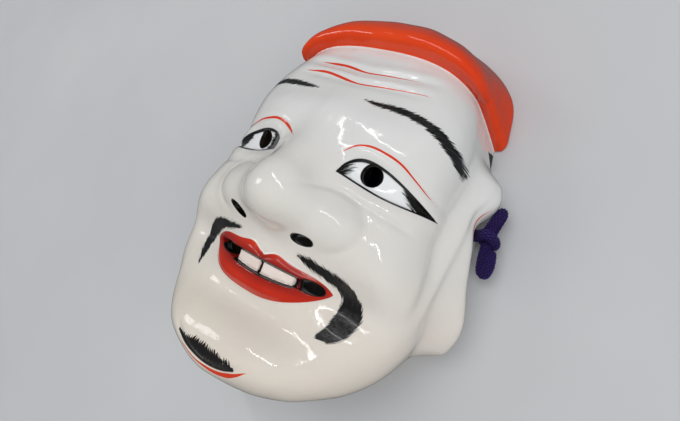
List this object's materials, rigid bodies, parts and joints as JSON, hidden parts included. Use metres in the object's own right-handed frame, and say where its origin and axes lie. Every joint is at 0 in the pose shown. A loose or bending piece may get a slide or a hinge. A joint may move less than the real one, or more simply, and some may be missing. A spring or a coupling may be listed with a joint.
{
  "type": "kagura mask",
  "caption": "Hollow lacquered papier-mache dance mask of a smiling fortune god with rolled cap, long ears and a braided head cord.",
  "frame": {"origin": "on the rim plane, under the middle of the shell's length and width", "axes": "+Y from the chin to the cap, +Z out of the face, +X towards the mask's own left ear; the rim lies in z = 0"},
  "size_m": [0.174, 0.2208, 0.0923],
  "materials": {
    "lacquered_shell": "glossy off-white lacquer over gesso and papier-mache, orange-red cap, painted features",
    "cord_braid": "deep violet braided cord"
  },
  "bodies": {
    "root": {"mask_shell": "lacquered_shell", "head_cord": "cord_braid", "cord_knot_left": "cord_braid", "cord_knot_right": "cord_braid"}
  },
  "joints": []
}
